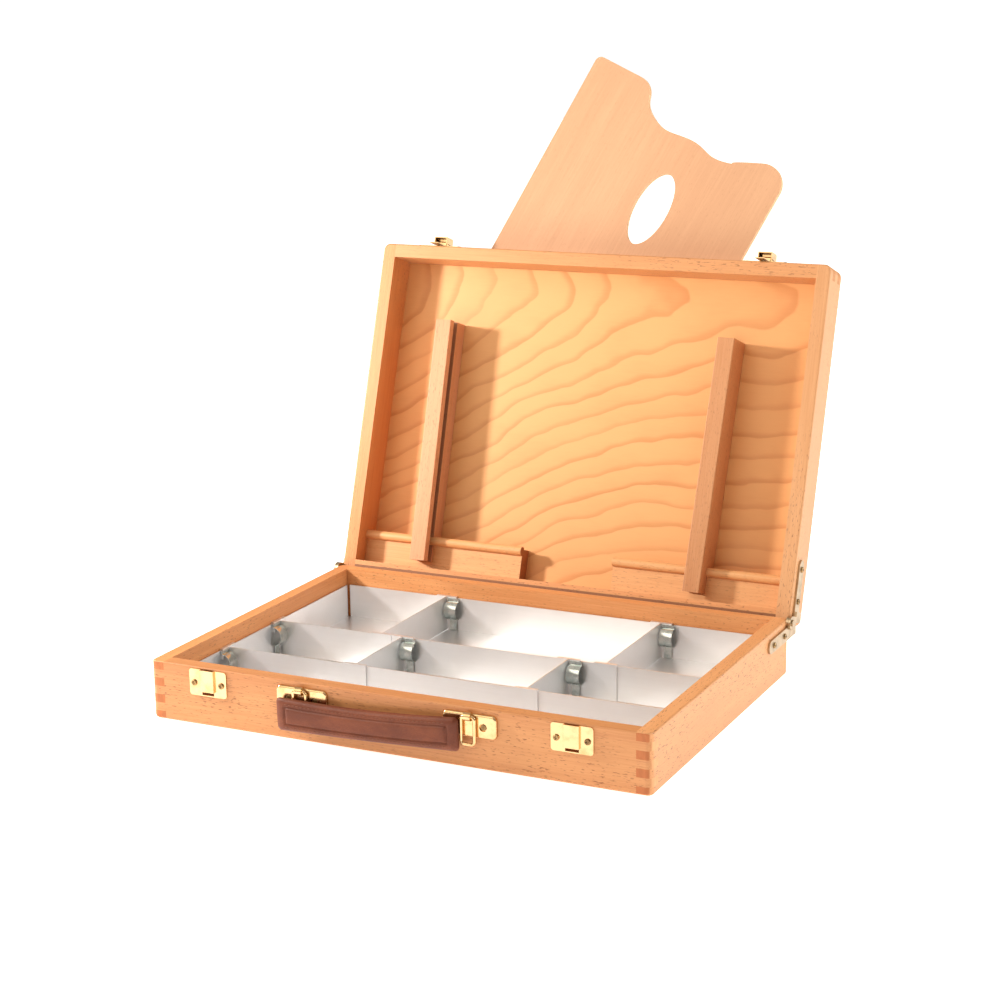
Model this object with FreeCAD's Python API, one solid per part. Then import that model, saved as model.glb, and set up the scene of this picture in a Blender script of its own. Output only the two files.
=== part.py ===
"""Table sketch-box easel: an open wooden box with a metal paint tray, a lid that holds a canvas,
two sliding canvas posts and a loose palette. Millimetres, +Z up, origin under the middle of the box."""
import FreeCAD, Part
import math
import os

V = FreeCAD.Vector
X_AXIS = V(1, 0, 0)
Y_AXIS = V(0, 1, 0)
Z_AXIS = V(0, 0, 1)

# Driving dimensions of the box
box_width = 420.0
box_depth = 300.0
board = 12.0
base_height = 47.2
lid_gap = 0.2
lid_depth = 35.0
lid_inner_depth = 31.0
panel_recess = 0.2
base_fingers = 7
lid_fingers = 5
base_corner_radius = 5.0
lid_corner_radius = 6.0
base_foot_radius = 2.5
lid_back_radius = 4.5
seam_radius = 1.5
bottom_ply = 3.0

# Hinge line and how far the lid is open
hinge_y = 147.7
hinge_z = 43.9
open_angle = 108.6

# Paint tray and its dividers
tray_sheet = 1.0
tray_clear = 1.2
tray_floor_z = 3.2
tray_top_z = 33.5
corner_slit = 2.6
rear_divider_y = 17.8
front_divider_y = -61.2
cross_sheet = 0.8
hook_half = 9.6
hook_depth = 8.0
slide_clear = 0.15
rear_cross_x = (-97.0, 104.0)
middle_cross_x = (-77.0, 72.0)
clip_radius = 8.2
clip_sheet = 0.6
clip_width = 11.0
clip_side_gap = 0.8
clip_top_strip = 2.6
clip_tongue_width = 6.5

# Guide rails and canvas posts inside the lid
rail_front_depth = 17.5
rail_top_y = 112.0
bead_radius = 4.0
bead_y = 113.5
bead_depth = 17.0
rail_ends = ((-197.9, -43.5), (43.0, 197.9))
post_width = 15.0
post_top_y = -84.0
post_foot_y = 132.0
post_front_depth = 1.5
post_back_gap = 0.5
post_clear = 0.3
post_centres = (-137.8, 121.3)
post_leans = (1.0, -1.2)
slot_front_depth = 8.2
slot_width = 6.7
slot_cut = 8.5

# Palette leaning on the back of the lid
palette_width = 216.6
palette_length = 380.0
palette_thickness = 4.0
palette_gap = 0.3
palette_corner = V(-38.3, -335.7, 0)
palette_angle = 65.6
palette_corner_radius = 6.0
palette_foot_radius = 14.0
thumb_centre = (118.8, 97.3)
thumb_half_length = 33.8
thumb_half_width = 16.4

# Brass fittings
catch_centres = (-157.0, 149.3)
plate_sheet = 1.0
strike_half = 16.6
strike_low = 24.5
strike_high = 45.7
bridge_half = 6.2
bridge_low = 28.4
bridge_rise = 2.2
bridge_sheet = 0.8
mortise_depth = 3.0
catch_half = 21.0
catch_low = 52.0
catch_high = 68.5
catch_pin_y = -154.4
catch_pin_z = 60.0
catch_pin_radius = 0.9
running_clear = 0.06
screw_shank = 1.4
screw_head = 2.4
screw_rise = 1.3
screw_length = 9.0
strap_sheet = 1.8
strap_half = 5.5
strap_gap = 0.2
hinge_pin_radius = 1.5
hinge_head_radius = 2.7
base_strap_front = 103.0
base_strap_z = 36.0
base_strap_back = 163.5
lid_strap_front = 100.5
lid_strap_z = 59.5
lid_strap_back = 147.0
stop_gap = 0.15
base_strap_screws = (109.3, 135.0)
lid_strap_screws = (103.0, 129.5)

# Carrying handle
bracket_centres = (-73.0, 68.3)
bracket_half = 22.0
bracket_low = 25.0
bracket_high = 43.3
bracket_thick = 2.6
bracket_round = 1.8
bracket_seat = 1.0
seat_radius = 3.1
bracket_screw = 11.4
bracket_screw_z = 33.8
handle_pin_y = -154.6
handle_pin_z = 41.6
saddle_radius = 3.2
saddle_half = 3.0
ring_wire = 1.3
ring_half = 5.4
ring_drop = 21.4
grip_length = 153.6
grip_height = 26.0
grip_thickness = 9.4
grip_centre = V(-14.4, -157.7, 25.3)
grip_tilt = 1.9
grip_edge_radius = 3.0

half_width = box_width / 2
half_depth = box_depth / 2
inner_x = half_width - board
inner_y = half_depth - board
rim_z = base_height + lid_gap
lid_top_z = rim_z + lid_depth
lid_inner_z = rim_z + lid_inner_depth
front_face = -half_depth
shapes = {}


def box(x0, x1, y0, y1, z0, z1):
    """Axis-aligned block between two corners."""
    return Part.makeBox(x1 - x0, y1 - y0, z1 - z0, V(x0, y0, z0))


def rod(start, end, radius):
    """Round bar between two points."""
    line = end - start
    return Part.makeCylinder(radius, line.Length, start, line)


def fuse(*parts):
    """One solid from touching or overlapping ones, with its seams removed."""
    return parts[0].multiFuse(list(parts[1:])).removeSplitter()


def edges_along(solid, axis, where=None):
    """Straight edges parallel to an axis, and inside a test on their middle when one is given."""
    found = []
    for edge in solid.Edges:
        if edge.Curve.TypeId != "Part::GeomLine":
            continue
        direction = (edge.Vertexes[-1].Point - edge.Vertexes[0].Point).normalize()
        if abs(direction.dot(axis)) > 0.999 and (where is None or where(edge.CenterOfMass)):
            found.append(edge)
    return found


def loop_at(solid, height):
    """Every edge that lies in one horizontal plane."""
    low = height - 0.001
    high = height + 0.001
    return [e for e in solid.Edges if e.BoundBox.ZMin > low and e.BoundBox.ZMax < high]


def opened(solid):
    """Turn a piece drawn with the lid shut to where it is with the lid open."""
    turned = solid.copy()
    turned.rotate(V(0, hinge_y, hinge_z), X_AXIS, -open_angle)
    return turned


def plate_profile(points, axis_start, axis_end):
    """Flat polygon given as (y, z) pairs, extruded along X between two places."""
    corners = [V(axis_start, y, z) for y, z in points]
    face = Part.Face(Part.makePolygon(corners + corners[:1]))
    return face.extrude(V(axis_end - axis_start, 0, 0))


# Box and lid boards

def finger_blocks(count, low, height, first):
    """Blocks at all four corners for every second finger, counted down from the top."""
    step = height / count
    blocks = []
    for index in range(first, count, 2):
        top = low + height - index * step
        for x in (-half_width, inner_x):
            for y in (-half_depth, inner_y):
                blocks.append(box(x, x + board, y, y + board, top - step, top))
    return blocks


def rounded_block(low, high, corner_radius, low_radius, high_radius):
    """Outer form of the box or of the lid, with all its rounded edges."""
    block = box(-half_width, half_width, -half_depth, half_depth, low, high)
    block = block.makeFillet(corner_radius, edges_along(block, Z_AXIS))
    block = block.makeFillet(low_radius, loop_at(block, low))
    return block.makeFillet(high_radius, loop_at(block, high))


def frame_boards(low, high, fingers, form):
    """Front, back, left and right boards with interlocking corner fingers."""
    sides_cut = finger_blocks(fingers, low, high - low, 1)
    ends_cut = finger_blocks(fingers, low, high - low, 0)
    front = box(-half_width, half_width, -half_depth, -inner_y, low, high).cut(ends_cut)
    back = box(-half_width, half_width, inner_y, half_depth, low, high).cut(ends_cut)
    left = box(-half_width, -inner_x, -half_depth, half_depth, low, high).cut(sides_cut)
    right = box(inner_x, half_width, -half_depth, half_depth, low, high).cut(sides_cut)
    return [piece.common(form) for piece in (front, back, left, right)]


base_form = rounded_block(0, base_height, base_corner_radius, base_foot_radius, seam_radius)
base_boards = frame_boards(0, base_height, base_fingers, base_form)
lid_form = rounded_block(rim_z, lid_top_z, lid_corner_radius, seam_radius, lid_back_radius)
lid_boards = frame_boards(rim_z, lid_top_z, lid_fingers, lid_form)
shapes["base_bottom"] = box(-inner_x, inner_x, -inner_y, inner_y, 0, bottom_ply)
lid_panel = box(-inner_x, inner_x, -inner_y, inner_y, lid_inner_z, lid_top_z - panel_recess)


# Screws, drawn pointing up and then turned to their face

def screw(place, outward):
    """Pan-head screw with a cross recess, its head resting on the plate at place."""
    head = Part.makeCylinder(screw_head, screw_rise)
    head = head.makeFillet(screw_rise * 0.6, [loop_at(head, screw_rise)[0]])
    shank = Part.makeCylinder(screw_shank, screw_length - 2, V(0, 0, 2 - screw_length))
    tip = Part.makeCone(0.3, screw_shank, 2, V(0, 0, -screw_length))
    solid = fuse(head, shank, tip)
    arm = screw_head * 0.62
    slot = 0.35
    recess = screw_rise * 0.45
    solid = solid.cut(box(-arm, arm, -slot, slot, recess, screw_rise + 1))
    solid = solid.cut(box(-slot, slot, -arm, arm, recess, screw_rise + 1))
    solid.Placement = FreeCAD.Placement(place, FreeCAD.Rotation(Z_AXIS, outward))
    return solid


def bored(solid, screws):
    """Cut the shank holes of some screws out of a piece."""
    return solid.cut(screws)


# Catches: a strike plate with a raised bridge on the box, a lever on the lid

def strike_plate(centre):
    """Pressed plate whose raised bridge takes the tongue of the lever."""
    back = front_face
    face = front_face - plate_sheet
    plate = box(centre - strike_half, centre + strike_half, face, back, strike_low, strike_high)
    plate = plate.makeFillet(2.4, edges_along(plate, Y_AXIS))
    top = face - bridge_rise
    bridge = box(centre - bridge_half, centre + bridge_half, top, face, bridge_low, strike_high)
    bridge = bridge.makeFillet(0.7, edges_along(bridge, Z_AXIS, lambda c: c.y < top + 0.1))
    tunnel = box(centre - bridge_half + bridge_sheet, centre + bridge_half - bridge_sheet,
                 top + bridge_sheet, back, strike_low + 0.8, strike_high + 1)
    return fuse(plate, bridge).cut(tunnel)


def catch_plate(centre):
    """Plate on the lid with two ears that carry the lever's pin."""
    face = front_face - plate_sheet
    plate = box(centre - catch_half, centre + catch_half, face, front_face, catch_low, catch_high)
    plate = plate.makeFillet(3.0, edges_along(plate, Y_AXIS))
    ears = []
    for side in (-1, 1):
        inner = centre + side * 4.4
        outer = centre + side * 5.3
        ear = rod(V(inner, catch_pin_y, catch_pin_z), V(outer, catch_pin_y, catch_pin_z), 1.9)
        stem = box(min(inner, outer), max(inner, outer), catch_pin_y, face,
                   catch_pin_z - 1.9, catch_pin_z + 1.9)
        ears += [ear, stem]
    hole = rod(V(centre - 6, catch_pin_y, catch_pin_z), V(centre + 6, catch_pin_y, catch_pin_z),
               catch_pin_radius)
    return fuse(plate, *ears).cut(hole)


def catch_lever(centre):
    """Folded hood with a barrel round the pin and a tongue that drops into the bridge."""
    hood = box(centre - 6.3, centre + 6.3, -159.4, -153.6, 54.0, 66.5)
    hood = hood.makeFillet(2.2, edges_along(hood, X_AXIS, lambda c: c.y < -159 and c.z > 66))
    hood = hood.cut(box(centre - 5.5, centre + 5.5, -158.6, -150, 50, 65.7))
    web = box(centre - 4.1, centre + 4.1, -159.0, catch_pin_y, 59.2, 60.8)
    barrel = rod(V(centre - 4.1, catch_pin_y, catch_pin_z), V(centre + 4.1, catch_pin_y, catch_pin_z),
                 1.9)
    neck = box(centre - 4.1, centre + 4.1, catch_pin_y, -151.4, 57.6, 59.6)
    tongue = box(centre - 4.1, centre + 4.1, -152.1, -151.4, 41.0, 59.6)
    bore = rod(V(centre - 6, catch_pin_y, catch_pin_z), V(centre + 6, catch_pin_y, catch_pin_z),
               catch_pin_radius + running_clear)
    return fuse(hood, web, barrel, neck, tongue).cut(bore)


# Strap hinges on both sides, drawn on the right and mirrored for the left

def strap_base():
    """Lower strap: a bar with a round front end, an ear at the pin and a sloping stop behind."""
    low = base_strap_z - strap_half
    high = base_strap_z + strap_half
    lean = math.radians(open_angle - 90)
    stop_y = hinge_y + (lid_strap_z - strap_half - hinge_z) * math.cos(lean)
    stop_z = hinge_z - (lid_strap_z - strap_half - hinge_z) * math.sin(lean) - stop_gap
    stop_z += (hinge_y - lid_strap_back) * math.cos(lean)
    stop_y += (hinge_y - lid_strap_back) * math.sin(lean)
    slope = math.tan(lean)
    outline = [(base_strap_front, low), (base_strap_back, low),
               (base_strap_back, stop_z - (base_strap_back - stop_y) * slope),
               (stop_y - (high - stop_z) / slope, high), (base_strap_front, high)]
    outer = half_width + strap_sheet
    bar = plate_profile(outline, half_width, outer)
    nose = rod(V(half_width, base_strap_front, base_strap_z), V(outer, base_strap_front, base_strap_z),
               strap_half)
    ear = rod(V(half_width, hinge_y, hinge_z), V(outer, hinge_y, hinge_z), strap_half)
    hole = rod(V(half_width, hinge_y, hinge_z), V(outer, hinge_y, hinge_z), hinge_pin_radius)
    return fuse(bar, nose, ear).cut(hole)


def strap_lid():
    """Upper strap, with the lid shut: a bar on the lid and an ear set out over the lower strap."""
    low = lid_strap_z - strap_half
    high = lid_strap_z + strap_half
    inner = half_width
    outer = half_width + strap_sheet
    ear_inner = outer + strap_gap
    ear_outer = ear_inner + strap_sheet
    bar = box(inner, outer, lid_strap_front, lid_strap_back, low, high)
    nose = rod(V(inner, lid_strap_front, lid_strap_z), V(outer, lid_strap_front, lid_strap_z), strap_half)
    step = box(inner, ear_outer, lid_strap_back - 9, lid_strap_back, low, high)
    arm = box(ear_inner, ear_outer, hinge_y - strap_half, lid_strap_back, hinge_z, high)
    back = box(ear_inner, ear_outer, lid_strap_back - 1, hinge_y + strap_half, hinge_z, low)
    ear = rod(V(ear_inner, hinge_y, hinge_z), V(ear_outer, hinge_y, hinge_z), strap_half)
    hole = rod(V(ear_inner - 1, hinge_y, hinge_z), V(ear_outer + 1, hinge_y, hinge_z),
               hinge_pin_radius + running_clear)
    return fuse(bar, nose, step, arm, back, ear).cut(hole)


def hinge_pin():
    """Rivet through both straps, its head outside."""
    outside = half_width + 2 * strap_sheet + strap_gap + 0.1
    stem = rod(V(half_width, hinge_y, hinge_z), V(outside + 0.5, hinge_y, hinge_z), hinge_pin_radius)
    head = rod(V(outside, hinge_y, hinge_z), V(outside + 1.2, hinge_y, hinge_z), hinge_head_radius)
    return fuse(stem, head)


def both_sides(solid):
    """A right-hand piece and its mirror image."""
    return solid.mirror(V(0, 0, 0), X_AXIS), solid


strap_face = half_width + strap_sheet
base_screws = []
lid_screws = []
for side in (-1, 1):
    outward = V(side, 0, 0)
    for place in base_strap_screws:
        base_screws.append(screw(V(side * strap_face, place, base_strap_z), outward))
    for place in lid_strap_screws:
        lid_screws.append(screw(V(side * strap_face, place, lid_strap_z), outward))
for centre in catch_centres:
    for offset in (-12.2, 12.2):
        base_screws.append(screw(V(centre + offset, front_face - plate_sheet, 34.6), -Y_AXIS))
    for offset in (-16.5, 16.5):
        middle = (catch_low + catch_high) / 2
        lid_screws.append(screw(V(centre + offset, front_face - plate_sheet, middle), -Y_AXIS))
for centre in bracket_centres:
    for offset in (-bracket_screw, bracket_screw):
        place = V(centre + offset, front_face - bracket_seat, bracket_screw_z)
        base_screws.append(screw(place, -Y_AXIS))

left_strap, right_strap = both_sides(strap_base())
shapes["strap_base_left"] = bored(left_strap, base_screws)
shapes["strap_base_right"] = bored(right_strap, base_screws)
left_strap, right_strap = both_sides(strap_lid())
shapes["strap_lid_left"] = opened(bored(left_strap, lid_screws))
shapes["strap_lid_right"] = opened(bored(right_strap, lid_screws))
shapes["hinge_pins"] = Part.makeCompound(both_sides(hinge_pin()))

for name, centre in zip(("left", "right"), catch_centres):
    shapes["strike_" + name] = bored(strike_plate(centre), base_screws)
    shapes["catch_plate_" + name] = opened(bored(catch_plate(centre), lid_screws))
    shapes["catch_lever_" + name] = opened(catch_lever(centre))
catch_pins = [rod(V(centre - 5.3, catch_pin_y, catch_pin_z), V(centre + 5.3, catch_pin_y, catch_pin_z),
                  catch_pin_radius) for centre in catch_centres]
shapes["catch_pins"] = opened(Part.makeCompound(catch_pins))


# Handle: two brackets, two wire rings and a leather grip

def bracket(centre):
    """Round-edged screw plate with a saddle that holds the ring's top bar."""
    face = front_face - bracket_thick
    plate = box(centre - bracket_half, centre + bracket_half, face, front_face, bracket_low, bracket_high)
    plate = plate.makeFillet(4.0, edges_along(plate, Y_AXIS))
    rim = [e for e in plate.Edges if e.BoundBox.YMax < face + 0.001]
    plate = plate.makeFillet(bracket_round, rim)
    for offset in (-bracket_screw, bracket_screw):
        seat = V(centre + offset, front_face - bracket_seat, bracket_screw_z)
        plate = plate.cut(rod(seat, seat - Y_AXIS * bracket_thick, seat_radius))
    start = V(centre - saddle_half, handle_pin_y, handle_pin_z)
    end = V(centre + saddle_half, handle_pin_y, handle_pin_z)
    saddle = rod(start, end, saddle_radius)
    block = box(centre - saddle_half, centre + saddle_half, handle_pin_y, face,
                handle_pin_z - saddle_radius, handle_pin_z + saddle_radius - 0.1)
    return fuse(plate, saddle, block).cut(rod(start, end, ring_wire + running_clear))


def wire_ring(centre):
    """Rectangular ring of round wire with rounded lower corners."""
    left = centre - ring_half
    right = centre + ring_half
    top = handle_pin_z
    low = handle_pin_z - ring_drop
    bend = 3.0
    corners = [V(left, 0, top), V(right, 0, top), V(right, 0, low), V(left, 0, low)]
    edges = []
    for index, corner in enumerate(corners):
        before = (corners[index - 1] - corner).normalize() * bend
        after = (corners[(index + 1) % 4] - corner).normalize() * bend
        following = corners[(index + 1) % 4]
        middle = corner + (before + after) * (1 - math.sqrt(0.5))
        edges.append(Part.Arc(corner + before, middle, corner + after).toShape())
        edges.append(Part.LineSegment(corner + after, following - after).toShape())
    segments = []
    for edge in edges:
        edge.translate(V(0, handle_pin_y, 0))
        point = edge.valueAt(edge.FirstParameter)
        tangent = edge.tangentAt(edge.FirstParameter)
        disc = Part.Wire(Part.makeCircle(ring_wire, point, tangent))
        segments.append(Part.Wire(edge).makePipeShell([disc], True, False))
    return fuse(*segments)


grip_half = V(grip_length / 2, grip_thickness / 2, grip_height / 2)
grip = box(-grip_half.x, grip_half.x, -grip_half.y, grip_half.y, -grip_half.z, grip_half.z)
grip = grip.makeFillet(6.0, edges_along(grip, Y_AXIS))
grip = grip.makeFillet(grip_edge_radius, [e for e in grip.Edges if abs(e.CenterOfMass.y) > grip_half.y - 0.01])
grip.rotate(V(0, 0, 0), Y_AXIS, -grip_tilt)
grip.translate(grip_centre)
shapes["handle_grip"] = grip
for name, centre in zip(("left", "right"), bracket_centres):
    shapes["bracket_" + name] = bored(bracket(centre), base_screws)
    shapes["handle_ring_" + name] = wire_ring(centre)

mortises = [box(centre - bridge_half + bridge_sheet, centre + bridge_half - bridge_sheet,
                front_face, front_face + mortise_depth, strike_low + 0.8, strike_high)
            for centre in catch_centres]
base_boards[0] = base_boards[0].cut(mortises)
for name, piece in zip(("front", "back", "left", "right"), base_boards):
    shapes["base_" + name] = bored(piece, base_screws)
for name, piece in zip(("front", "back", "left", "right"), lid_boards):
    shapes["lid_" + name] = opened(bored(piece, lid_screws))
shapes["lid_panel"] = opened(lid_panel)
shapes["base_screws"] = Part.makeCompound(base_screws)
shapes["lid_screws"] = opened(Part.makeCompound(lid_screws))


# Paint tray: one folded sheet with slit corners, and its dividers

tray_x = inner_x - tray_clear
tray_y = inner_y - tray_clear
pan = box(-tray_x, tray_x, -tray_y, tray_y, tray_floor_z, tray_top_z)
wall_x = tray_x - tray_sheet
wall_y = tray_y - tray_sheet
floor_top = tray_floor_z + tray_sheet
pan = pan.cut(box(-wall_x, wall_x, -wall_y, wall_y, floor_top, tray_top_z + 1))
for x in (-tray_x, tray_x - corner_slit):
    for y in (-tray_y, tray_y - corner_slit):
        pan = pan.cut(box(x, x + corner_slit, y, y + corner_slit, floor_top, tray_top_z + 1))
shapes["tray_pan"] = pan
stand_z = floor_top + 0.3
saddle_z = tray_top_z + slide_clear
hook_top = saddle_z + cross_sheet


def hook_over(wall_low, wall_high, x0, x1, inward, far_foot):
    """Inverted channel over a wall that runs along X. Inward is the side the divider stands on."""
    low = wall_low - slide_clear - cross_sheet
    high = wall_high + slide_clear + cross_sheet
    feet = {inward: saddle_z - hook_depth, -inward: far_foot}
    top = box(x0, x1, low, high, saddle_z, hook_top)
    near = box(x0, x1, low, low + cross_sheet, feet[-1], hook_top)
    far = box(x0, x1, high - cross_sheet, high, feet[1], hook_top)
    return fuse(top, near, far)


def cross_divider(x, wall_front, wall_back):
    """Short divider from the wall in front of it to the wall behind, hooked over both."""
    front = hook_over(wall_front[0], wall_front[1], x - hook_half, x + hook_half, 1, stand_z)
    back = hook_over(wall_back[0], wall_back[1], x - hook_half, x + hook_half, -1,
                     saddle_z - hook_depth)
    y0 = wall_front[1] + slide_clear
    y1 = wall_back[0] - slide_clear
    plate = box(x - cross_sheet / 2, x + cross_sheet / 2, y0, y1, stand_z, hook_top)
    return fuse(plate, front, back)


def spring_clip(wall_y, x0):
    """Rolled steel clip against a wall that runs along X, its belly towards -Y."""
    x1 = x0 + clip_width
    top = saddle_z - 0.3
    bend_top = top - clip_top_strip
    centre_z = bend_top - clip_radius
    outer = rod(V(x0, wall_y, centre_z), V(x1, wall_y, centre_z), clip_radius)
    hollow = rod(V(x0, wall_y, centre_z), V(x1, wall_y, centre_z), clip_radius - clip_sheet)
    belly = outer.cut(hollow).common(box(x0, x1, wall_y - clip_radius - 1, wall_y,
                                         centre_z - clip_radius - 1, centre_z + clip_radius + 1))
    strip = box(x0, x1, wall_y - clip_sheet, wall_y, bend_top - clip_sheet, top)
    middle = (x0 + x1) / 2
    tongue = box(middle - clip_tongue_width / 2, middle + clip_tongue_width / 2,
                 wall_y - clip_sheet, wall_y, stand_z, centre_z - clip_radius + clip_sheet)
    return fuse(belly, strip, tongue)


half_sheet = tray_sheet / 2
rear_wall = (wall_y, tray_y)
rear_long = (rear_divider_y - half_sheet, rear_divider_y + half_sheet)
front_long = (front_divider_y - half_sheet, front_divider_y + half_sheet)
rows = (("rear", rear_cross_x, rear_long, rear_wall), ("middle", middle_cross_x, front_long, rear_long))
for row, places, wall_front, wall_back in rows:
    for name, x in zip(("left", "right"), places):
        divider = cross_divider(x, wall_front, wall_back)
        clip_wall = wall_back[0] - slide_clear - cross_sheet
        shapes["cross_" + row + "_" + name] = divider
        shapes["clip_" + row + "_" + name] = spring_clip(clip_wall, x + cross_sheet / 2 + clip_side_gap)


def long_divider(y):
    """Full-length divider hooked over the tray's left and right walls."""
    reach = tray_x + cross_sheet + slide_clear
    inside = wall_x - slide_clear
    plate = box(-inside, inside, y - half_sheet, y + half_sheet, stand_z, tray_top_z)
    parts = [plate]
    for side in (-1, 1):
        near = sorted((side * (inside - cross_sheet), side * inside))
        far = sorted((side * (reach - cross_sheet), side * reach))
        whole = sorted((side * (inside - cross_sheet), side * reach))
        foot = saddle_z - hook_depth
        parts.append(box(near[0], near[1], y - hook_half, y + hook_half, foot, hook_top))
        parts.append(box(far[0], far[1], y - hook_half, y + hook_half, foot, hook_top))
        parts.append(box(whole[0], whole[1], y - hook_half, y + hook_half, saddle_z, hook_top))
    return fuse(*parts)


for name, y in (("rear", rear_divider_y), ("front", front_divider_y)):
    shapes["divider_" + name] = long_divider(y)
    clip = spring_clip(wall_x - slide_clear - cross_sheet, 0)
    clip.rotate(V(0, 0, 0), Z_AXIS, 90)
    clip.translate(V(0, y - half_sheet - clip_width - clip_side_gap, 0))
    shapes["clip_end_" + name] = clip


# Guide rails and canvas posts

rail_face_z = rim_z + rail_front_depth
bead_z = rim_z + bead_depth
for name, (x0, x1) in zip(("left", "right"), rail_ends):
    block = box(x0, x1, rail_top_y, inner_y, rail_face_z, lid_inner_z)
    bead = rod(V(x0, bead_y, bead_z), V(x1, bead_y, bead_z), bead_radius)
    shapes["guide_rail_" + name] = opened(fuse(block, bead))


def canvas_post(centre, lean, slot_side):
    """Upright with a canvas slot, notched to hook over the guide rail."""
    x0 = centre - post_width / 2
    x1 = centre + post_width / 2
    front = rim_z + post_front_depth
    post = box(x0, x1, post_top_y, post_foot_y, front, lid_inner_z - post_back_gap)
    post = post.makeFillet(0.8, edges_along(post, Y_AXIS, lambda c: c.z < front + 1))
    beyond = 5.0
    block = box(x0 - beyond, x1 + beyond, rail_top_y - post_clear, post_foot_y + beyond,
                rail_face_z - post_clear, lid_inner_z)
    bead = rod(V(x0 - beyond, bead_y, bead_z), V(x1 + beyond, bead_y, bead_z), bead_radius + post_clear)
    slot_z = rim_z + slot_front_depth
    edge = centre + slot_side * post_width / 2
    slot = box(min(edge, edge - slot_side * slot_cut), max(edge, edge - slot_side * slot_cut),
               post_top_y - beyond, post_foot_y + beyond, slot_z, slot_z + slot_width)
    post = post.cut(slot)
    post.rotate(V(centre, (rail_top_y + post_foot_y) / 2, 0), Z_AXIS, lean)
    return post.cut([block, bead])


for name, centre, lean, slot_side in zip(("left", "right"), post_centres, post_leans, (1, -1)):
    shapes["post_" + name] = opened(canvas_post(centre, -lean, slot_side))


# Palette, drawn across its width and down its length from the top left corner

def palette():
    """Flat board with a scalloped top, a rounded lobe and an oval thumb hole."""
    r = palette_corner_radius
    foot = palette_foot_radius
    wide = palette_width
    long = palette_length
    near = r * (1 - math.sqrt(0.5))
    foot_near = foot * (1 - math.sqrt(0.5))
    scallop = Part.BSplineCurve()
    scallop.interpolate(Points=[V(64.5, 12, 0), V(76, 25, 0), V(93, 30.6, 0), V(110, 29.2, 0),
                                V(127, 28.6, 0), V(149, 32.8, 0), V(164, 30.2, 0), V(191, 17.1, 0)],
                        InitialTangent=V(0.3, 1, 0), FinalTangent=V(1, -0.4, 0))
    edges = [
        Part.Arc(V(0, r, 0), V(near, near, 0), V(r, 0, 0)).toShape(),
        Part.LineSegment(V(r, 0, 0), V(48, 0, 0)).toShape(),
        Part.Arc(V(48, 0, 0), V(58.8, 3.6, 0), V(64.5, 12, 0)).toShape(),
        scallop.toShape(),
        Part.Arc(V(191, 17.1, 0), V(208.5, 19, 0), V(wide, 32, 0)).toShape(),
        Part.LineSegment(V(wide, 32, 0), V(wide, long - foot, 0)).toShape(),
        Part.Arc(V(wide, long - foot, 0), V(wide - foot_near, long - foot_near, 0),
                 V(wide - foot, long, 0)).toShape(),
        Part.LineSegment(V(wide - foot, long, 0), V(foot, long, 0)).toShape(),
        Part.Arc(V(foot, long, 0), V(foot_near, long - foot_near, 0), V(0, long - foot, 0)).toShape(),
        Part.LineSegment(V(0, long - foot, 0), V(0, r, 0)).toShape(),
    ]
    sheet = Part.Face(Part.Wire(edges)).extrude(V(0, 0, palette_thickness))
    oval = Part.Ellipse(V(thumb_centre[0], thumb_centre[1] + thumb_half_length, -1),
                        V(thumb_centre[0] + thumb_half_width, thumb_centre[1], -1),
                        V(thumb_centre[0], thumb_centre[1], -1))
    hole = Part.Face(Part.Wire(oval.toShape())).extrude(V(0, 0, palette_thickness + 2))
    solid = sheet.cut(hole)
    solid.rotate(V(0, 0, 0), Z_AXIS, 90 - palette_angle)
    solid.translate(palette_corner + V(0, 0, lid_top_z + palette_gap))
    return solid


shapes["palette"] = opened(palette())

os.makedirs("parts", exist_ok=True)
for name, shape in shapes.items():
    shape.exportStep("parts/" + name + ".step")
    print(name, len(shape.Solids), shape.isValid(), round(shape.Volume))
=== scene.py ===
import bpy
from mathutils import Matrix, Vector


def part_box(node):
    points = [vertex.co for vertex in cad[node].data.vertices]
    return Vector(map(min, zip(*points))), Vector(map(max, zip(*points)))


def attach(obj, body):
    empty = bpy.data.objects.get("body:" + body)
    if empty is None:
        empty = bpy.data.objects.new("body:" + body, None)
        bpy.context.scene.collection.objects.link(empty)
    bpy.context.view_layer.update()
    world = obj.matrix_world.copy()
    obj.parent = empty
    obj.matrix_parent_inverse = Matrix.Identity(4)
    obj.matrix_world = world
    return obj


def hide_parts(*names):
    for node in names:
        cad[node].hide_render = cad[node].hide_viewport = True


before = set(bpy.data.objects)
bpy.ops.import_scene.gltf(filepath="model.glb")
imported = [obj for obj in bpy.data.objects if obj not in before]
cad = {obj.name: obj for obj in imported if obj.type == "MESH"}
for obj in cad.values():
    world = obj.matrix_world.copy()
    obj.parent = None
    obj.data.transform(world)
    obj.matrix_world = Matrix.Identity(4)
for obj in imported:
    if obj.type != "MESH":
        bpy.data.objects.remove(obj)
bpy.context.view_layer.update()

import math

import bmesh
import bpy
from mathutils import Matrix, Vector


# ---- Lower box ----------------------------------------------------------------------------------
# Four boards of oiled beech, 12 mm thick, finger-jointed at the corners and sanded round on the
# outside. The long boards run left to right, the short ones front to back, so their ends show as
# darker end grain at every second finger.

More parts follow.
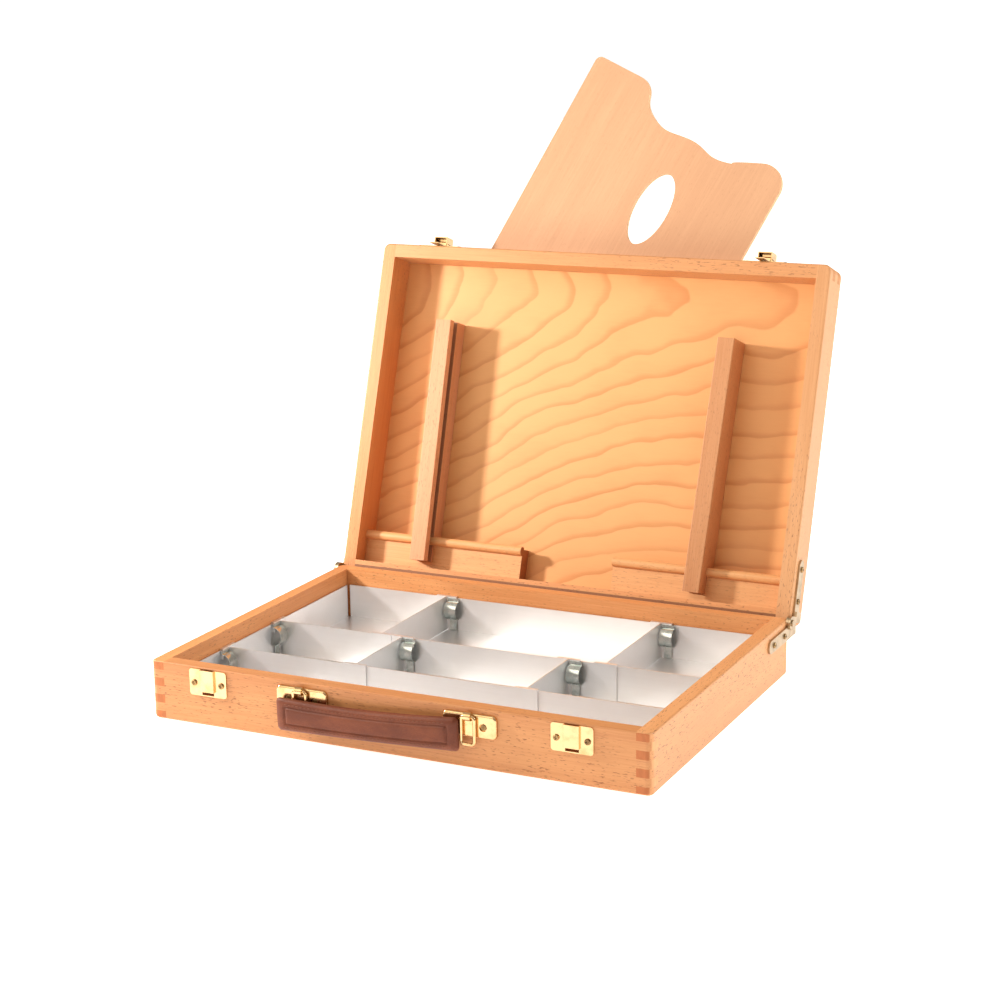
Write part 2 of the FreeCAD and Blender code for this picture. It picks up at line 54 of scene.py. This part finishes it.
class Line:
    """One output socket of a shader, so that masks and tones can be written as sums and products."""

    def __init__(self, work, socket):
        self.work = work
        self.socket = socket

    def sum_with(self, operation, first, second):
        return self.work.node("Math", {"operation": operation}, {0: first, 1: second})

    def __add__(self, other):
        return self.sum_with("ADD", self, other)

    def __radd__(self, other):
        return self.sum_with("ADD", other, self)

    def __sub__(self, other):
        return self.sum_with("SUBTRACT", self, other)

    def __rsub__(self, other):
        return self.sum_with("SUBTRACT", other, self)

    def __mul__(self, other):
        return self.sum_with("MULTIPLY", self, other)

    def __rmul__(self, other):
        return self.sum_with("MULTIPLY", other, self)

    def __truediv__(self, other):
        return self.sum_with("DIVIDE", self, other)


class Workshop:
    """A material on its bench: makes its nodes and wires them up."""

    def __init__(self, name, **constant):
        self.material = bpy.data.materials.new(name)
        self.material.use_nodes = True
        self.tree = self.material.node_tree
        self.surface = self.tree.nodes["Principled BSDF"]
        for socket, value in constant.items():
            self.surface.inputs[socket.replace("_", " ")].default_value = value

    def node(self, kind, settings=None, values=None, out=0):
        made = self.tree.nodes.new("ShaderNode" + kind)
        for key, value in (settings or {}).items():
            if key == "stops":
                ramp = made.color_ramp
                while len(ramp.elements) < len(value):
                    ramp.elements.new(0.5)
                for stop, (place, colour) in zip(ramp.elements, value):
                    stop.position = place
                    stop.color = (*colour, 1)
            else:
                setattr(made, key, value)
        for socket, value in (values or {}).items():
            if isinstance(value, Line):
                self.tree.links.new(value.socket, made.inputs[socket])
            elif value is not None:
                made.inputs[socket].default_value = value
        return Line(self, made.outputs[out])

    def place(self):
        return self.node("TexCoord", out="Object")

    def split(self, vector):
        parts = self.node("SeparateXYZ", values={0: vector}).socket.node.outputs
        return [Line(self, part) for part in parts]

    def join(self, x, y, z):
        return self.node("CombineXYZ", values={0: x, 1: y, 2: z})

    def noise(self, vector, detail=2.0, rough=0.5, warp=0.0):
        return self.node("TexNoise", {"noise_dimensions": "3D"},
                         {"Vector": vector, "Scale": 1.0, "Detail": detail, "Roughness": rough,
                          "Distortion": warp})

    def between(self, value, low, high):
        """0 below low, 1 above high, smooth in between."""
        return self.node("MapRange", {"interpolation_type": "SMOOTHSTEP"},
                         {"Value": value, "From Min": low, "From Max": high})

    def blend(self, mask, first, second, way="MIX"):
        """Colour that goes from first to second as the mask goes from 0 to 1."""
        def full(colour):
            return colour if isinstance(colour, Line) else (*colour, 1)
        mix = self.node("Mix", {"data_type": "RGBA", "blend_type": way, "clamp_factor": True},
                        {0: mask, 6: full(first), 7: full(second)}, out=2)
        return mix

    def bump(self, height, depth, strength=1.0):
        return self.node("Bump", values={"Height": height, "Distance": depth, "Strength": strength})

    def finish(self, **varying):
        for socket, line in varying.items():
            self.tree.links.new(line.socket, self.surface.inputs[socket.replace("_", " ")])
        return self.material


def dress(material, *nodes):
    """Puts a material on CAD pieces in place of the one they came with."""
    for name in nodes:
        piece = cad[name]
        piece.data.materials.clear()
        piece.data.materials.append(material)


hinge_y, hinge_z, open_angle = 0.1477, 0.0439, math.radians(108.6)


def board_place(work, grain, on_lid, seed):
    """Coordinates along the grain, across it and through it. Pieces of the lid are read as if shut."""
    at = work.place()
    if on_lid:
        at = work.node("VectorRotate", {"rotation_type": "X_AXIS"},
                       {"Vector": at, "Center": (0, hinge_y, hinge_z), "Angle": open_angle})
    x, y, z = work.split(at)
    along, across = (x, y) if grain == "x" else (y, x)
    return along + seed * 0.731, across + seed * 0.217, z + seed * 0.113


def end_mask(work, grain, on_lid):
    """1 where the face looks along the grain, so that end grain shows."""
    x, y, z = work.split(work.node("TexCoord", out="Normal"))
    if grain == "x":
        facing = x
    elif on_lid:
        facing = y * math.cos(open_angle) - z * math.sin(open_angle)
    else:
        facing = y
    return work.between(work.node("Math", {"operation": "ABSOLUTE"}, {0: facing}), 0.72, 0.9)


def oiled_beech(name, grain, on_lid=False, seed=0.0, light=(0.72, 0.325, 0.125), deep=(0.60, 0.235, 0.078),
                end=(0.50, 0.155, 0.048), flecks=1.0, painted_shade=None):
    """Straight-grained beech: soft bands, fine pores along the grain and short dark ray flecks.
    The last argument paints shade: a thin strip darkened to stand in for the shadow in a seam or a
    slot, given as where it starts across the board, which way it runs from there, its lower and upper
    end through the board, and how dark it is."""
    work = Workshop(name, Specular_IOR_Level=0.42)
    along, across, through = board_place(work, grain, on_lid, seed)
    bands = work.noise(work.join(along * 2.2, across * 34, through * 34), 3, 0.55, 0.25)
    drift = work.noise(work.join(along * 5, across * 16, through * 16), 2, 0.5)
    streaks = work.noise(work.join(along * 26, across * 900, through * 900), 3, 0.6)
    rays = work.noise(work.join(along * 240, across * 1350, through * 1300), 1, 0.4)
    fleck = work.between(rays, 0.63, 0.71) * work.between(drift, 0.30, 0.60)
    tone = work.between(bands * 0.45 + streaks * 0.40 + drift * 0.15, 0.34, 0.64)
    wood = work.blend(tone, deep, light)
    wood = work.blend(fleck * (0.72 * flecks), wood, (0.20, 0.06, 0.018))
    ends = end_mask(work, grain, on_lid)
    rings = work.noise(work.join(along * 20, across * 260, through * 90), 3, 0.6)
    sawn = work.blend(work.between(rings, 0.35, 0.65), tuple(c * 0.86 for c in end), end)
    wood = work.blend(ends, wood, sawn)
    # Painted shade: a thin strip blended towards near-black, standing in for the shadow in a seam or a
    # slot.
    if painted_shade:
        start, way, low, high, depth = painted_shade
        strip = work.between(through - seed * 0.113, low - 0.0002, low + 0.0002)
        strip = strip * (1 - work.between(through - seed * 0.113, high - 0.0002, high + 0.0002))
        strip = strip * work.between((across - seed * 0.217 - start) * way, 0.0, 0.0006)
        wood = work.blend(strip * depth, wood, (0.13, 0.034, 0.010))
    relief = streaks * 0.7 - fleck * 0.8
    return work.finish(Base_Color=wood, Roughness=0.40 + tone * 0.10 + ends * 0.2,
                       Normal=work.bump(relief, 0.00012, 0.6))


dress(oiled_beech("beech_box_front", "x", seed=1.0, light=(0.62, 0.285, 0.11), deep=(0.51, 0.20, 0.068),
                  end=(0.80, 0.40, 0.18)), "base_front")
dress(oiled_beech("beech_box_back", "x", seed=2.3, end=(0.80, 0.40, 0.18)), "base_back")
dress(oiled_beech("beech_box_left", "y", seed=3.1), "base_left")
dress(oiled_beech("beech_box_right", "y", seed=4.7, light=(0.74, 0.36, 0.155),
                  deep=(0.64, 0.28, 0.105)), "base_right")


# ---- Bottom board and lid panel -----------------------------------------------------------------
# Thin birch-faced plywood. The lid's panel is cut so that wide growth lines sweep up from its lower
# left corner, level out on the right and close into arches near the top.

def arched_ply(name, on_lid, width, top, spacing=0.0188, seed=0.0, light=(0.78, 0.385, 0.145),
               dark=(0.56, 0.205, 0.055)):
    """Rotary-cut face with broad arched growth lines, each with one crisp and one fading side."""
    work = Workshop(name, Specular_IOR_Level=0.40)
    across, along, through = board_place(work, "x", on_lid, 0.0)
    wander = work.noise(work.join(across * 7 + seed, along * 9, through * 9), 3, 0.55)
    ripple = work.noise(work.join(across * 45, along * 60 + seed, through * 60), 2, 0.5)
    right = across + width / 2
    down = along - top
    under = work.node("Math", {"operation": "SQRT"}, {0: (down - 0.015) * (down - 0.015) + 0.0013})
    turn = work.node("Math", {"operation": "EXPONENT"}, {0: (right - 0.20) / 0.03})
    level = work.node("Math", {"operation": "LOGARITHM"}, {0: turn + 1, 1: math.e}) * 0.03
    field = under + right * 0.60 - level * 0.45 + (wander - 0.5) * 0.045 + (ripple - 0.5) * 0.0024
    year = work.node("Math", {"operation": "FRACT"}, {0: field / spacing})
    ring = work.node("Math", {"operation": "FLOOR"}, {0: field / spacing})
    weight = work.node("TexWhiteNoise", {"noise_dimensions": "1D"}, {"W": ring + seed})
    late = work.between(year, 0.66, 0.93) * (1 - work.between(year, 0.94, 1.0))
    soft = work.between(year, 0.1, 0.95) * (1 - work.between(year, 0.95, 1.0))
    fibres = work.noise(work.join(across * 70 + along * 30, along * 900, through * 900), 2, 0.6)
    cloud = work.noise(work.join(across * 14, along * 22, through + seed), 2, 0.5)
    mask = late * (0.24 + weight * 0.28) + soft * 0.15 + (fibres - 0.5) * 0.22 + (cloud - 0.5) * 0.5
    wood = work.blend(mask, light, dark)
    return work.finish(Base_Color=wood, Roughness=0.46 - late * 0.06,
                       Normal=work.bump(fibres, 0.00006, 0.4))


dress(arched_ply("ply_lid", True, 0.396, -0.138), "lid_panel")
dress(arched_ply("ply_bottom", False, 0.396, -0.138, seed=7.0), "base_bottom")


# ---- Lid frame ----------------------------------------------------------------------------------
# Four more beech boards, 35 mm deep, with two finger joints fewer than the box. The left board is
# a little darker and redder than the other three.

dress(oiled_beech("beech_lid_front", "x", True, 5.2, light=(0.70, 0.34, 0.145), deep=(0.61, 0.265, 0.10),
                  end=(0.60, 0.26, 0.10)), "lid_front")
# The back board gets painted shade: a thin dark strip on its rim face along the seam with the box.
dress(oiled_beech("beech_lid_back", "x", True, 6.4, end=(0.60, 0.26, 0.10),
                  painted_shade=(0.1417, 1, 0.0465, 0.0477, 0.75)), "lid_back")
dress(oiled_beech("beech_lid_left", "y", True, 7.9, light=(0.66, 0.29, 0.105), deep=(0.56, 0.215, 0.068),
                  end=(0.60, 0.26, 0.10)), "lid_left")
dress(oiled_beech("beech_lid_right", "y", True, 8.3, light=(0.70, 0.36, 0.165), deep=(0.61, 0.285, 0.115),
                  end=(0.64, 0.30, 0.125)), "lid_right")


# ---- Guide rails --------------------------------------------------------------------------------
# Two beech battens glued along the foot of the panel, each with a round bead along its upper edge
# that the canvas posts hook over. Paler than the frame.

rail_beech = oiled_beech("beech_rail", "x", True, 9.6, light=(0.78, 0.41, 0.175), deep=(0.68, 0.31, 0.115),
                         end=(0.42, 0.15, 0.05), flecks=0.5)
dress(rail_beech, "guide_rail_left", "guide_rail_right")


# ---- Canvas posts -------------------------------------------------------------------------------
# Square beech uprights, notched to ride on the rails, with a slot down the side that faces the
# other one. A canvas board slides into both slots and is held by them.

# Painted shade: the inside of each post's slot, from slot_low to slot_high in depth, is darkened by
# slot_dark to stand in for the shadow in the groove.
slot_low, slot_high, slot_dark = 0.0556, 0.0623, 0.85
dress(oiled_beech("beech_post_left", "y", True, 10.4, light=(0.71, 0.33, 0.165), deep=(0.62, 0.26, 0.115),
                  end=(0.55, 0.24, 0.09), flecks=0.6,
                  painted_shade=(-0.1435, 1, slot_low, slot_high, slot_dark)), "post_left")
dress(oiled_beech("beech_post_right", "y", True, 11.8, light=(0.59, 0.27, 0.115), deep=(0.50, 0.20, 0.073),
                  end=(0.42, 0.16, 0.06), flecks=0.6,
                  painted_shade=(0.1276, -1, slot_low, slot_high, slot_dark)), "post_right")


# ---- Palette ------------------------------------------------------------------------------------
# A 4 mm beech-faced plywood palette with a scalloped top, a thumb hole and a plain varnish. The
# grain runs down its length, and the plies show as thin stripes round the edge.

def palette_ply(name):
    work = Workshop(name, Specular_IOR_Level=0.45)
    x, y, z = work.split(work.node("VectorRotate", {"rotation_type": "X_AXIS"},
                                   {"Vector": work.place(), "Center": (0, hinge_y, hinge_z),
                                    "Angle": open_angle}))
    lean = math.radians(24.4)
    across = x * math.cos(lean) + y * math.sin(lean)
    along = y * math.cos(lean) - x * math.sin(lean)
    wide = work.noise(work.join(across * 26, along * 1.6, z * 8), 3, 0.55, 0.3)
    fine = work.noise(work.join(across * 700, along * 18, z * 60), 3, 0.6)
    dash = work.noise(work.join(across * 1700, along * 230, z * 60), 1, 0.4)
    fleck = work.between(dash, 0.64, 0.74)
    tone = work.between(wide * 0.5 + fine * 0.5, 0.28, 0.72)
    wood = work.blend(tone, (0.60, 0.315, 0.165), (0.68, 0.375, 0.205))
    wood = work.blend(fleck * 0.34, wood, (0.42, 0.19, 0.08))
    nx, ny, nz = work.split(work.node("TexCoord", out="Normal"))
    flat = work.node("Math", {"operation": "ABSOLUTE"},
                     {0: ny * -math.sin(open_angle) - nz * math.cos(open_angle)})
    side = 1 - work.between(flat, 0.35, 0.6)
    ply = work.node("Math", {"operation": "PINGPONG"}, {0: (z - 0.0828) / 0.0013, 1: 1.0})
    layer = work.blend(work.between(ply, 0.42, 0.58), (0.90, 0.60, 0.34), (0.55, 0.27, 0.11))
    wood = work.blend(side, wood, layer)
    return work.finish(Base_Color=wood, Roughness=0.36 + tone * 0.08 + side * 0.2,
                       Normal=work.bump(fine - fleck * 0.8, 0.00008, 0.5))


dress(palette_ply("ply_palette"), "palette")


# ---- Paint tray ---------------------------------------------------------------------------------
# One sheet of matt aluminium with its four sides folded up and open slits at the corners. Two long
# and four short dividers of the same sheet hook over its walls.

def rolled_sheet(name, tone, roughness=0.26, seed=0.0):
    """Mill-finish aluminium: faint rolling lines and clouded gloss."""
    work = Workshop(name, Metallic=0.80)
    x, y, z = work.split(work.place())
    cloud = work.noise(work.join(x * 14 + seed, y * 14, z * 14), 3, 0.6)
    lines = work.noise(work.join(x * 9, y * 420 + seed, z * 420), 1, 0.5)
    metal = work.blend(cloud * 0.6 + lines * 0.3, tuple(c * 0.88 for c in tone), tone)
    return work.finish(Base_Color=metal, Roughness=roughness + cloud * 0.14 + lines * 0.05,
                       Normal=work.bump(lines, 0.00001, 0.3))


dress(rolled_sheet("tray_sheet", (0.97, 0.97, 0.98)), "tray_pan")
dress(rolled_sheet("divider_sheet", (0.92, 0.93, 0.94), seed=3.0), "divider_rear", "divider_front",
      "cross_rear_left", "cross_rear_right", "cross_middle_left", "cross_middle_right")


# ---- Spring clips -------------------------------------------------------------------------------
# Rolled spring steel, bright zinc with a faint green-grey cast, one at the end of every divider.

def zinc(name):
    work = Workshop(name, Metallic=1.0)
    cloud = work.noise(work.node("VectorMath", {"operation": "SCALE"}, {0: work.place(), 3: 160.0}), 3, 0.6)
    metal = work.blend(work.between(cloud, 0.35, 0.65), (0.50, 0.56, 0.54), (0.72, 0.75, 0.72))
    return work.finish(Base_Color=metal, Roughness=0.14 + cloud * 0.16,
                       Normal=work.bump(cloud, 0.00005, 0.4))


dress(zinc("zinc_clip"), "clip_rear_left", "clip_rear_right", "clip_middle_left", "clip_middle_right",
      "clip_end_rear", "clip_end_front")


# ---- Catches, brackets and hinges ---------------------------------------------------------------
# Pressed brass. The catches and the handle brackets are bright, the strap hinges are duller, and
# every screw is a small brass pan head with a dark cross in it.

def brass(name, bright, dull, roughness, seed=0.0):
    """Pressed brass with a slightly uneven polish and darker tarnish in scattered patches."""
    work = Workshop(name, Metallic=1.0)
    x, y, z = work.split(work.place())
    cloud = work.noise(work.join(x * 90 + seed, y * 90, z * 90), 3, 0.6)
    polish = work.noise(work.join(x * 500, y * 500, z * 2600), 2, 0.6)
    metal = work.blend(work.between(cloud, 0.4, 0.75) * 0.7, bright, dull)
    return work.finish(Base_Color=metal, Roughness=roughness + cloud * 0.10 + polish * 0.05,
                       Normal=work.bump(polish * 0.3 + cloud, 0.00004, 0.35))


dress(brass("brass_bright", (0.77, 0.52, 0.27), (0.52, 0.32, 0.13), 0.14), "strike_left", "strike_right",
      "bracket_left", "bracket_right", "catch_plate_left", "catch_plate_right", "catch_lever_left",
      "catch_lever_right", "catch_pins", "handle_ring_left", "handle_ring_right")
dress(brass("brass_aged", (0.52, 0.40, 0.26), (0.30, 0.21, 0.12), 0.27, 4.0), "strap_base_left",
      "strap_base_right", "strap_lid_left", "strap_lid_right", "hinge_pins")
dress(brass("brass_screw", (0.42, 0.27, 0.12), (0.16, 0.09, 0.045), 0.26, 9.0), "base_screws", "lid_screws")


# ---- Leather grip -------------------------------------------------------------------------------
# A strip of brown leather folded over a stiff core and sewn near its edges, with an embossed line
# inside the seam. Its ends close round the wire rings. It hangs a little crooked.

def leather(name):
    work = Workshop(name, Specular_IOR_Level=0.28)
    at = work.place()
    x, y, z = work.split(at)
    cells = work.node("TexVoronoi", {"feature": "DISTANCE_TO_EDGE"}, {"Vector": at, "Scale": 900.0})
    creases = work.noise(work.join(x * 40, y * 160, z * 240), 4, 0.6, 0.4)
    wear = work.noise(work.join(x * 30, y * 60, z * 60), 3, 0.6)
    hide = work.blend(work.between(wear, 0.35, 0.7), (0.142, 0.033, 0.012), (0.214, 0.055, 0.021))
    hide = work.blend(work.between(cells, 0.0, 0.16), work.blend(0.5, hide, (0.08, 0.02, 0.01)), hide)
    pebble = work.between(cells, 0.0, 0.25)
    return work.finish(Base_Color=hide, Roughness=0.40 + wear * 0.14 - pebble * 0.05,
                       Normal=work.bump(pebble * 0.5 + creases * 0.8, 0.00016, 0.55))


grip_low, grip_high = (Vector(corner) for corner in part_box("handle_grip"))
grip_middle = (grip_low + grip_high) / 2
grip_length, grip_height, grip_thick, grip_tilt = 0.1536, 0.026, 0.0094, math.radians(1.9)


border, border_width, border_depth = 0.0064, 0.0007, 0.0011


def pillow(u, v):
    """Half thickness of the grip at u along and v up, both from -1 to 1."""
    edge = max(0.0, 1 - abs(v) ** 5) ** 0.5
    end = max(0.0, 1 - abs(u) ** 26) ** 0.5
    return edge * end


def grip_point(u, v, side):
    """A point of the front (side -1) or the back (side 1) face."""
    from_end = (1 - abs(u)) * grip_length / 2 - 0.0022
    from_edge = (1 - abs(v)) * grip_height / 2
    inset = min(from_end, from_edge)
    half = grip_thick / 2 * (0.80 + 0.20 * math.cos(u * math.pi / 2)) * pillow(u, v)
    groove = math.exp(-((inset - border) / border_width) ** 2) * border_depth
    raised = 0.0005 * (1 - math.exp(-max(0.0, inset - border) / 0.0012))
    half = max(0.0, half - groove - 0.0004 + raised) if side < 0 else half
    sag = math.cos(u * math.pi / 2) * (0.0006 + 0.0010 * (v + 1))
    return Vector((u * grip_length / 2, side * half, v * grip_height / 2 - sag))


def settled(point):
    """Turns a point of the grip to the way it hangs and puts it in place."""
    return Matrix.Rotation(-grip_tilt, 3, "Y") @ point + grip_middle


def spaced(count, crowd):
    """Steps from -1 to 1, closer together near the ends."""
    steps = []
    for index in range(count + 1):
        t = index / count * 2 - 1
        steps.append(math.copysign(1 - (1 - abs(t)) ** crowd, t))
    return steps


def smooth_object(name, mesh_maker, material):
    """Makes a smooth-shaded object from a function that fills a bmesh."""
    shape = bmesh.new()
    mesh_maker(shape)
    mesh = bpy.data.meshes.new(name)
    shape.to_mesh(mesh)
    shape.free()
    mesh.polygons.foreach_set("use_smooth", [True] * len(mesh.polygons))
    made = bpy.data.objects.new(name, mesh)
    bpy.context.scene.collection.objects.link(made)
    made.data.materials.append(material)
    return made


def fill_grip(shape):
    across = spaced(150, 1.25)
    upward = spaced(44, 1.45)
    faces = {}
    for side in (-1, 1):
        for i, u in enumerate(across):
            for j, v in enumerate(upward):
                rim = i in (0, len(across) - 1) or j in (0, len(upward) - 1)
                if rim and side == 1:
                    faces[side, i, j] = faces[-1, i, j]
                    continue
                point = grip_point(u, v, side)
                if rim:
                    point.y = 0.0
                corner = 0.0035
                over_x = max(0.0, abs(point.x) - (grip_length / 2 - corner))
                over_z = max(0.0, abs(point.z) - (grip_height / 2 - corner))
                reach = math.hypot(over_x, over_z)
                if over_x > 0 and over_z > 0 and reach > 0:
                    scale = max(over_x, over_z) / reach
                    point.x = math.copysign(grip_length / 2 - corner + over_x * scale, point.x)
                    point.z = math.copysign(grip_height / 2 - corner + over_z * scale, point.z)
                faces[side, i, j] = shape.verts.new(settled(point))
    for side in (-1, 1):
        for i in range(len(across) - 1):
            for j in range(len(upward) - 1):
                ring = [faces[side, i, j], faces[side, i + 1, j], faces[side, i + 1, j + 1],
                        faces[side, i, j + 1]]
                shape.faces.new(ring if side < 0 else ring[::-1])


grip = smooth_object("leather_grip", fill_grip, leather("leather_brown"))
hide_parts("handle_grip")
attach(grip, "handle")


# ---- Stitching on the grip ----------------------------------------------------------------------
# One row of short waxed thread stitches along each long edge, just outside the embossed line.

def thread(name):
    work = Workshop(name, Specular_IOR_Level=0.3)
    x, y, z = work.split(work.place())
    twist = work.node("TexWave", {"wave_type": "BANDS", "bands_direction": "DIAGONAL"},
                      {"Vector": work.join(x, y, z), "Scale": 900.0, "Distortion": 0.4}, out="Fac")
    yarn = work.blend(twist, (0.16, 0.055, 0.03), (0.27, 0.10, 0.055))
    return work.finish(Base_Color=yarn, Roughness=0.62 + twist * 0.1, Normal=work.bump(twist, 0.0001, 0.5))


def fill_stitches(shape):
    pitch, stitch, yarn = 0.0034, 0.0025, 0.00024
    from_end, from_edge, lift = 0.008, 0.0038, 0.00028
    count = int((grip_length - 2 * from_end) / pitch)
    for row in (-1, 1):
        for index in range(count):
            middle = -grip_length / 2 + from_end + (index + 0.5) * pitch
            v = row * (1 - from_edge / (grip_height / 2))
            for turn in range(7):
                t = turn / 6
                along = middle + (t - 0.5) * stitch
                seat = grip_point(along / (grip_length / 2), v, -1)
                centre = settled(seat + Vector((0, -lift * math.sin(t * math.pi), 0)))
                radius = yarn * (0.45 + 0.55 * math.sin(t * math.pi))
                ring = [shape.verts.new(centre + Vector((0, math.cos(a), math.sin(a))) * radius)
                        for a in (k * math.pi / 3 for k in range(6))]
                if turn:
                    for k in range(6):
                        shape.faces.new((last[k], last[k - 1], ring[k - 1], ring[k]))
                else:
                    shape.faces.new(ring)
                last = ring
            shape.faces.new(last[::-1])


stitches = smooth_object("grip_stitches", fill_stitches, thread("thread_brown"))
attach(stitches, "handle")


# ---- Table, light and camera --------------------------------------------------------------------
# The box stands on a plain white table in a white room that gives a warm light. One small lamp on
# the left throws the posts' shadows on the panel, a wide one behind lights the right sides, and a
# soft sky lights the front.

def table_top(name):
    work = Workshop(name, Specular_IOR_Level=0.1, Emission_Color=(1, 1, 1, 1), Emission_Strength=0.80)
    cloud = work.noise(work.node("VectorMath", {"operation": "SCALE"}, {0: work.place(), 3: 3.0}), 2, 0.5)
    return work.finish(Base_Color=work.blend(cloud, (0.93, 0.93, 0.93), (0.96, 0.96, 0.96)),
                       Roughness=0.8 + cloud * 0.1)


def fill_table(shape):
    reach = 6.0
    corners = [shape.verts.new((x, y, -0.0002)) for x, y in
               ((-reach, -reach), (reach, -reach), (reach, reach), (-reach, reach))]
    shape.faces.new(corners)


table = smooth_object("table", fill_table, table_top("white_table"))

room = bpy.data.worlds.new("room")
room.use_nodes = True
wiring = room.node_tree


def room_node(kind, **links):
    made = wiring.nodes.new("ShaderNode" + kind)
    for socket, value in links.items():
        socket = made.inputs[socket.replace("_", " ")]
        if isinstance(value, bpy.types.NodeSocket):
            wiring.links.new(value, socket)
        else:
            socket.default_value = value
    return made.outputs


direction = room_node("SeparateXYZ", Vector=room_node("TexCoord")["Generated"])
overhead = room_node("MapRange", Value=direction["Z"], From_Max=0.9, To_Min=0.11, To_Max=0.66)
seen = room_node("MapRange", Value=room_node("LightPath")["Is Camera Ray"], To_Min=overhead["Result"],
                 To_Max=1.06)
tint = {axis: room_node("MapRange", Value=room_node("LightPath")["Is Camera Ray"], To_Min=warm)["Result"]
        for axis, warm in (("X", 1.0), ("Y", 0.89), ("Z", 0.76))}
wiring.links.new(room_node("CombineXYZ", **tint)["Vector"], wiring.nodes["Background"].inputs["Color"])
wiring.links.new(seen["Result"], wiring.nodes["Background"].inputs["Strength"])
bpy.context.scene.world = room


def lamp(name, place, target, width, watts, colour=(1, 1, 1)):
    light = bpy.data.lights.new(name, "AREA")
    light.shape = "DISK"
    light.size = width
    light.energy = watts
    light.color = colour
    made = bpy.data.objects.new(name, light)
    made.location = place
    made.rotation_mode = "QUATERNION"
    made.rotation_quaternion = (Vector(target) - Vector(place)).to_track_quat("-Z", "Y")
    bpy.context.scene.collection.objects.link(made)


lamp("key", (-0.80, -0.27, 0.47), (0.0, 0.12, 0.15), 0.10, 11.5, (1.0, 0.97, 0.93))
lamp("right", (2.0, 0.75, 1.0), (0.2, 0.1, 0.1), 1.2, 29.0, (0.95, 0.98, 1.0))
sky = bpy.data.lights.new("sky", "SUN")
sky.energy = 0.80
sky.color = (1.0, 0.90, 0.78)
sky.angle = math.radians(45)
sky_object = bpy.data.objects.new("sky", sky)
sky_object.rotation_mode = "QUATERNION"
sky_object.rotation_quaternion = Vector((0.42, 0.74, -0.66)).to_track_quat("-Z", "Y")
bpy.context.scene.collection.objects.link(sky_object)

bpy.context.scene.view_settings.view_transform = "Standard"

lens = bpy.data.cameras.new("camera")
lens.lens = 78.2
lens.sensor_width = 36
lens.clip_start = 0.05
camera = bpy.data.objects.new("camera", lens)
bpy.context.scene.collection.objects.link(camera)
bpy.context.scene.camera = camera
turn, rise, roll, distance = math.radians(25.891), math.radians(13.920), math.radians(-0.8146), 1.69735
target = Vector((0.02193, 0, 0.16316))
back = Vector((math.sin(turn) * math.cos(rise), -math.cos(turn) * math.cos(rise), math.sin(rise)))
level = Vector((math.cos(turn), math.sin(turn), 0))
upright = back.cross(level)
sideways = level * math.cos(roll) + upright * math.sin(roll)
upright = back.cross(sideways)
camera.matrix_world = (Matrix.Translation(target + back * distance)
                       @ Matrix((sideways, upright, back)).transposed().to_4x4())
